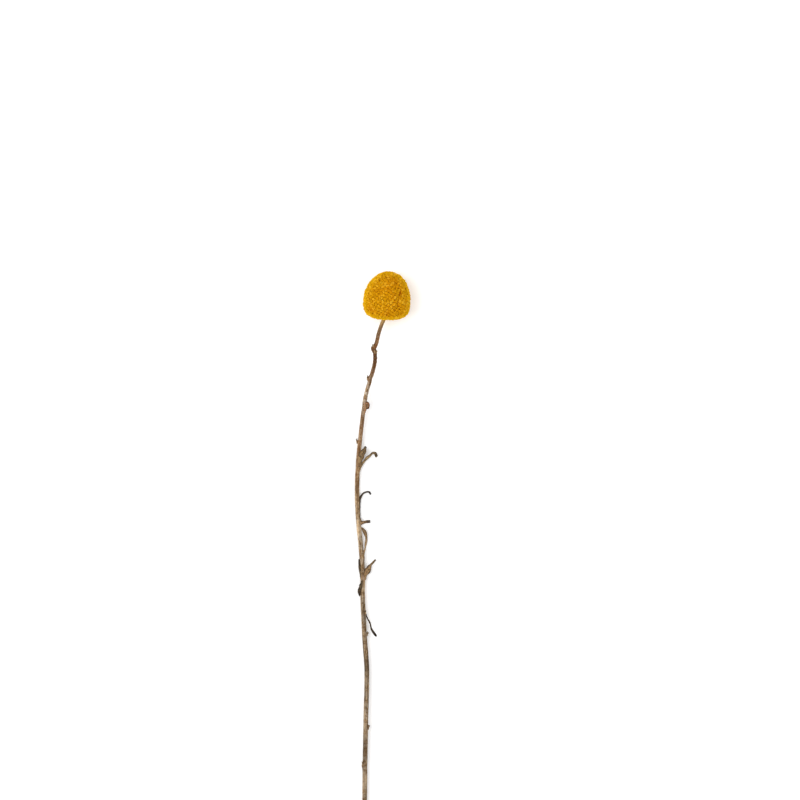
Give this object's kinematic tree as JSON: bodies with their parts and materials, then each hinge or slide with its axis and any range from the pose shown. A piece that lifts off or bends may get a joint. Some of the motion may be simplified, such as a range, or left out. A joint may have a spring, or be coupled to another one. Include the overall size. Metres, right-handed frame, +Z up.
{
  "type": "dried billy button stem",
  "caption": "Dried billy button stem lying down: a ball-shaped yellow flower head of packed florets on a long thin tan stem with small shrunken brown leaves.",
  "frame": {"origin": "middle of the small pressed flat under the flower head, where the head bears on the surface it lies on", "axes": "+Z up from the surface, +X along the stem towards the top of the flower head, +Y to the left when looking down with the head away from the viewer"},
  "size_m": [0.4173, 0.0326, 0.0271],
  "materials": {
    "florets": "matte",
    "stem": "matte",
    "dried_leaf": "matte"
  },
  "bodies": {
    "root": {"flower_head": "florets", "stem": "stem", "leaf_top_curl": "dried_leaf", "leaf_clasping": "dried_leaf", "leaf_long_hook": "dried_leaf", "leaf_fine_hook": "dried_leaf", "leaf_stub": "dried_leaf", "leaf_ribbon": "dried_leaf", "leaf_broad": "dried_leaf", "leaf_sliver_upper": "dried_leaf", "leaf_sliver_lower": "dried_leaf", "leaf_trailing": "dried_leaf", "leaf_foot": "dried_leaf"}
  },
  "joints": []
}
